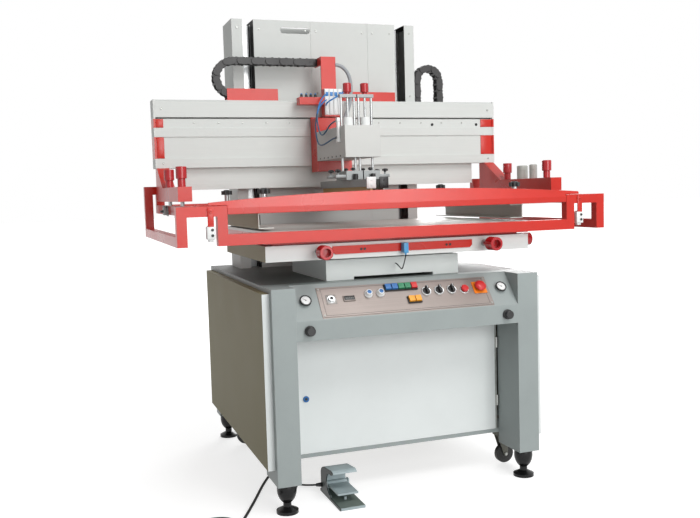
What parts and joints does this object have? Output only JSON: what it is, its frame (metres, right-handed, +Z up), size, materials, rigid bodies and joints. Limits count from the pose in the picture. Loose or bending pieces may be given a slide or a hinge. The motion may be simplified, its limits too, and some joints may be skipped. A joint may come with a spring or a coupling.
{
  "type": "screen printing machine",
  "caption": "Free-standing flat-bed screen printing machine: a lifting head with a traversing squeegee carriage over a vacuum table on a cabinet, with a sloped console and a foot pedal.",
  "frame": {"origin": "on the floor under the middle of the machine's overall box, measured without the mains lead", "axes": "+X to the operator's right, +Y from the operator to the back, +Z up"},
  "size_m": [1.59, 1.2337, 1.812],
  "materials": {
    "red_paint": "satin",
    "frame_paint": "satin",
    "cover_paint": "satin",
    "bare_metal": "brushed",
    "beam_metal": "anodised",
    "black_plastic": "matte",
    "cord_rubber": "matte",
    "wheel_rubber": "matte",
    "zinc": "satin",
    "blue_plastic": "gloss",
    "green_plastic": "gloss",
    "red_plastic": "gloss",
    "yellow_plastic": "gloss",
    "white_plastic": "gloss"
  },
  "bodies": {
    "machine": {"cabinet_frame": "frame_paint", "cabinet_panels": "cover_paint", "control_panel": "cover_paint", "table_base": "frame_paint", "column": "cover_paint", "pedal_housing": "cover_paint", "pedal_cord": "cord_rubber", "mains_cord": "cord_rubber", "mains_coil": "cord_rubber", "mains_plug": "cord_rubber", "lift_chain": "black_plastic"},
    "head": {"beam": "beam_metal", "head_arms": "red_paint", "carriage_chain": "black_plastic"},
    "carrier": {"carrier_frame": "red_paint"},
    "carriage": {"carriage_plate": "red_paint", "print_head": "bare_metal"},
    "squeegee": {"squeegee": "bare_metal"},
    "flood_bar": {"flood_bar": "bare_metal"},
    "height_knob_front_left": {"height_knob_front_left": "red_plastic"},
    "height_knob_front_right": {"height_knob_front_right": "red_plastic"},
    "height_knob_rear_left": {"height_knob_rear_left": "red_plastic"},
    "height_knob_rear_right": {"height_knob_rear_right": "red_plastic"},
    "frame_channel_left": {"frame_channel_left": "bare_metal"},
    "clamp_knob_front_left": {"clamp_knob_front_left": "black_plastic"},
    "clamp_knob_rear_left": {"clamp_knob_rear_left": "black_plastic"},
    "frame_channel_right": {"frame_channel_right": "bare_metal"},
    "clamp_knob_front_right": {"clamp_knob_front_right": "black_plastic"},
    "clamp_knob_rear_right": {"clamp_knob_rear_right": "black_plastic"},
    "table_saddle": {"table_saddle": "zinc"},
    "table_knob_left": {"table_knob_left": "red_plastic"},
    "table_knob_right": {"table_knob_right": "red_plastic"},
    "printing_table": {"printing_table": "bare_metal"},
    "table_knob_side": {"table_knob_side": "red_plastic"},
    "cabinet_door": {"cabinet_door": "cover_paint"},
    "jog_button_blue_left": {"jog_button_blue_left": "blue_plastic"},
    "jog_button_blue_right": {"jog_button_blue_right": "blue_plastic"},
    "jog_button_green_left": {"jog_button_green_left": "green_plastic"},
    "jog_button_green_right": {"jog_button_green_right": "green_plastic"},
    "jog_button_red": {"jog_button_red": "red_plastic"},
    "cycle_button_left": {"cycle_button_left": "yellow_plastic"},
    "timer_dial_left": {"timer_dial_left": "white_plastic"},
    "cycle_button_right": {"cycle_button_right": "yellow_plastic"},
    "timer_dial_right": {"timer_dial_right": "white_plastic"},
    "selector_left": {"selector_left": "black_plastic"},
    "selector_middle": {"selector_middle": "black_plastic"},
    "selector_right": {"selector_right": "black_plastic"},
    "stop_button": {"stop_button": "red_plastic"},
    "emergency_stop": {"emergency_stop": "red_plastic"},
    "regulator_knob_left": {"regulator_knob_left": "black_plastic"},
    "regulator_knob_right": {"regulator_knob_right": "black_plastic"},
    "caster_fork_front_left": {"caster_fork_front_left": "zinc"},
    "caster_wheel_front_left": {"caster_wheel_front_left": "wheel_rubber"},
    "caster_fork_front_right": {"caster_fork_front_right": "zinc"},
    "caster_wheel_front_right": {"caster_wheel_front_right": "wheel_rubber"},
    "caster_fork_rear_left": {"caster_fork_rear_left": "zinc"},
    "caster_wheel_rear_left": {"caster_wheel_rear_left": "wheel_rubber"},
    "caster_fork_rear_right": {"caster_fork_rear_right": "zinc"},
    "caster_wheel_rear_right": {"caster_wheel_rear_right": "wheel_rubber"},
    "treadle": {"treadle": "zinc"}
  },
  "joints": [
    {"name": "head_lift", "type": "slide", "parent": "machine", "child": "head", "axis": [0, 0, 1], "range_m": [0, 0.25], "deforming": ["lift_chain"]},
    {"name": "carriage_traverse", "type": "slide", "parent": "head", "child": "carriage", "axis": [1, 0, 0], "range_m": [-0.34, 0.34], "deforming": ["carriage_chain"]},
    {"name": "squeegee_stroke", "type": "slide", "parent": "carriage", "child": "squeegee", "axis": [0, 0, 1], "range_m": [-0.06, 0]},
    {"name": "flood_stroke", "type": "slide", "parent": "carriage", "child": "flood_bar", "axis": [0, 0, 1], "range_m": [-0.06, 0]},
    {"name": "carrier_height", "type": "slide", "parent": "head", "child": "carrier", "axis": [0, 0, 1], "range_m": [-0.006, 0.01]},
    {"name": "height_knob_front_left_turn", "type": "hinge", "parent": "head", "child": "height_knob_front_left", "pos_m": [-0.731, -0.233, 1.15], "axis": [0, 0, 1], "range_deg": [-1081, 1801]},
    {"name": "height_knob_front_right_turn", "type": "hinge", "parent": "head", "child": "height_knob_front_right", "pos_m": [0.731, -0.233, 1.15], "axis": [0, 0, 1], "range_deg": [-1081, 1801]},
    {"name": "height_knob_rear_left_turn", "type": "hinge", "parent": "head", "child": "height_knob_rear_left", "pos_m": [-0.731, 0.077, 1.15], "axis": [0, 0, 1], "range_deg": [-1081, 1801]},
    {"name": "height_knob_rear_right_turn", "type": "hinge", "parent": "head", "child": "height_knob_rear_right", "pos_m": [0.731, 0.077, 1.15], "axis": [0, 0, 1], "range_deg": [-1081, 1801]},
    {"name": "channel_left_slide", "type": "slide", "parent": "carrier", "child": "frame_channel_left", "axis": [-1, 0, 0], "range_m": [-0.015, 0.06]},
    {"name": "clamp_front_left_turn", "type": "hinge", "parent": "frame_channel_left", "child": "clamp_knob_front_left", "pos_m": [-0.4815, -0.4025, 1.09], "axis": [0, 0, 1], "continuous": true},
    {"name": "clamp_rear_left_turn", "type": "hinge", "parent": "frame_channel_left", "child": "clamp_knob_rear_left", "pos_m": [-0.4815, 0.2335, 1.09], "axis": [0, 0, 1], "continuous": true},
    {"name": "channel_right_slide", "type": "slide", "parent": "carrier", "child": "frame_channel_right", "axis": [1, 0, 0], "range_m": [-0.015, 0.06]},
    {"name": "clamp_front_right_turn", "type": "hinge", "parent": "frame_channel_right", "child": "clamp_knob_front_right", "pos_m": [0.4815, -0.4025, 1.09], "axis": [0, 0, 1], "continuous": true},
    {"name": "clamp_rear_right_turn", "type": "hinge", "parent": "frame_channel_right", "child": "clamp_knob_rear_right", "pos_m": [0.4815, 0.2335, 1.09], "axis": [0, 0, 1], "continuous": true},
    {"name": "table_depth_feed", "type": "slide", "parent": "machine", "child": "table_saddle", "axis": [0, 1, 0], "range_m": [-0.008, 0.008]},
    {"name": "table_knob_left_turn", "type": "hinge", "parent": "machine", "child": "table_knob_left", "pos_m": [-0.316, -0.535, 0.881], "axis": [0, 1, 0], "range_deg": [-1441, 1441]},
    {"name": "table_knob_right_turn", "type": "hinge", "parent": "machine", "child": "table_knob_right", "pos_m": [0.316, -0.535, 0.881], "axis": [0, 1, 0], "range_deg": [-1441, 1441]},
    {"name": "table_side_feed", "type": "slide", "parent": "table_saddle", "child": "printing_table", "axis": [1, 0, 0], "range_m": [-0.008, 0.008]},
    {"name": "table_knob_side_turn", "type": "hinge", "parent": "machine", "child": "table_knob_side", "pos_m": [0.545, -0.374, 0.881], "axis": [1, 0, 0], "range_deg": [-1441, 1441]},
    {"name": "door_swing", "type": "hinge", "parent": "machine", "child": "cabinet_door", "pos_m": [0.412, -0.373, 0.38], "axis": [0, 0, 1], "range_deg": [0, 90]},
    {"name": "jog_button_blue_left_press", "type": "slide", "parent": "machine", "child": "jog_button_blue_left", "axis": [0, -0.7626, 0.6469], "range_m": [-0.004, 0], "stiffness_N_per_m": 900},
    {"name": "jog_button_blue_right_press", "type": "slide", "parent": "machine", "child": "jog_button_blue_right", "axis": [0, -0.7626, 0.6469], "range_m": [-0.004, 0], "stiffness_N_per_m": 900},
    {"name": "jog_button_green_left_press", "type": "slide", "parent": "machine", "child": "jog_button_green_left", "axis": [0, -0.7626, 0.6469], "range_m": [-0.004, 0], "stiffness_N_per_m": 900},
    {"name": "jog_button_green_right_press", "type": "slide", "parent": "machine", "child": "jog_button_green_right", "axis": [0, -0.7626, 0.6469], "range_m": [-0.004, 0], "stiffness_N_per_m": 900},
    {"name": "jog_button_red_press", "type": "slide", "parent": "machine", "child": "jog_button_red", "axis": [0, -0.7626, 0.6469], "range_m": [-0.004, 0], "stiffness_N_per_m": 900},
    {"name": "cycle_button_left_press", "type": "slide", "parent": "machine", "child": "cycle_button_left", "axis": [0, -0.7626, 0.6469], "range_m": [-0.004, 0], "stiffness_N_per_m": 900},
    {"name": "timer_dial_left_turn", "type": "hinge", "parent": "machine", "child": "timer_dial_left", "pos_m": [-0.141, -0.47635, 0.72782], "axis": [0, -0.7626, 0.6469], "range_deg": [-135, 135]},
    {"name": "cycle_button_right_press", "type": "slide", "parent": "machine", "child": "cycle_button_right", "axis": [0, -0.7626, 0.6469], "range_m": [-0.004, 0], "stiffness_N_per_m": 900},
    {"name": "timer_dial_right_turn", "type": "hinge", "parent": "machine", "child": "timer_dial_right", "pos_m": [-0.0965, -0.47635, 0.72782], "axis": [0, -0.7626, 0.6469], "range_deg": [-135, 135]},
    {"name": "selector_left_turn", "type": "hinge", "parent": "machine", "child": "selector_left", "pos_m": [0.0774, -0.47958, 0.724], "axis": [0, -0.7626, 0.6469], "range_deg": [-45, 45]},
    {"name": "selector_middle_turn", "type": "hinge", "parent": "machine", "child": "selector_middle", "pos_m": [0.127, -0.47958, 0.724], "axis": [0, -0.7626, 0.6469], "range_deg": [-45, 45]},
    {"name": "selector_right_turn", "type": "hinge", "parent": "machine", "child": "selector_right", "pos_m": [0.1766, -0.47958, 0.724], "axis": [0, -0.7626, 0.6469], "range_deg": [-45, 45]},
    {"name": "stop_button_press", "type": "slide", "parent": "machine", "child": "stop_button", "axis": [0, -0.7626, 0.6469], "range_m": [-0.004, 0], "stiffness_N_per_m": 900},
    {"name": "emergency_stop_press", "type": "slide", "parent": "machine", "child": "emergency_stop", "axis": [0, -0.7626, 0.6469], "range_m": [-0.004, 0], "stiffness_N_per_m": 900},
    {"name": "regulator_left_turn", "type": "hinge", "parent": "machine", "child": "regulator_knob_left", "pos_m": [-0.373, -0.537, 0.622], "axis": [0, 1, 0], "range_deg": [-1080, 1080]},
    {"name": "regulator_right_turn", "type": "hinge", "parent": "machine", "child": "regulator_knob_right", "pos_m": [0.373, -0.537, 0.622], "axis": [0, 1, 0], "range_deg": [-1080, 1080]},
    {"name": "caster_front_left_swivel", "type": "hinge", "parent": "machine", "child": "caster_fork_front_left", "pos_m": [-0.44, -0.325, 0.125], "axis": [0, 0, 1], "continuous": true},
    {"name": "caster_front_left_roll", "type": "hinge", "parent": "caster_fork_front_left", "child": "caster_wheel_front_left", "pos_m": [-0.416, -0.325, 0.041], "axis": [0, 1, 0], "continuous": true},
    {"name": "caster_front_right_swivel", "type": "hinge", "parent": "machine", "child": "caster_fork_front_right", "pos_m": [0.44, -0.325, 0.125], "axis": [0, 0, 1], "continuous": true},
    {"name": "caster_front_right_roll", "type": "hinge", "parent": "caster_fork_front_right", "child": "caster_wheel_front_right", "pos_m": [0.464, -0.325, 0.041], "axis": [0, 1, 0], "continuous": true},
    {"name": "caster_rear_left_swivel", "type": "hinge", "parent": "machine", "child": "caster_fork_rear_left", "pos_m": [-0.44, 0.361, 0.125], "axis": [0, 0, 1], "continuous": true},
    {"name": "caster_rear_left_roll", "type": "hinge", "parent": "caster_fork_rear_left", "child": "caster_wheel_rear_left", "pos_m": [-0.416, 0.361, 0.041], "axis": [0, 1, 0], "continuous": true},
    {"name": "caster_rear_right_swivel", "type": "hinge", "parent": "machine", "child": "caster_fork_rear_right", "pos_m": [0.44, 0.361, 0.125], "axis": [0, 0, 1], "continuous": true},
    {"name": "caster_rear_right_roll", "type": "hinge", "parent": "caster_fork_rear_right", "child": "caster_wheel_rear_right", "pos_m": [0.464, 0.361, 0.041], "axis": [0, 1, 0], "continuous": true},
    {"name": "treadle_press", "type": "hinge", "parent": "machine", "child": "treadle", "pos_m": [-0.247, -0.373, 0.04], "axis": [1, 0, 0], "range_deg": [0, 8], "stiffness_Nm_per_rad": 25, "springref_deg": -2.86}
  ],
  "couplings": [
    {"joint": "height_knob_front_left_turn", "follows": "carrier_height", "rad_per_m": 3141.6},
    {"joint": "height_knob_front_right_turn", "follows": "carrier_height", "rad_per_m": 3141.6},
    {"joint": "height_knob_rear_left_turn", "follows": "carrier_height", "rad_per_m": 3141.6},
    {"joint": "height_knob_rear_right_turn", "follows": "carrier_height", "rad_per_m": 3141.6},
    {"joint": "table_knob_left_turn", "follows": "table_depth_feed", "rad_per_m": 3141.6},
    {"joint": "table_knob_right_turn", "follows": "table_depth_feed", "rad_per_m": 3141.6},
    {"joint": "table_knob_side_turn", "follows": "table_side_feed", "rad_per_m": 3141.6}
  ]
}
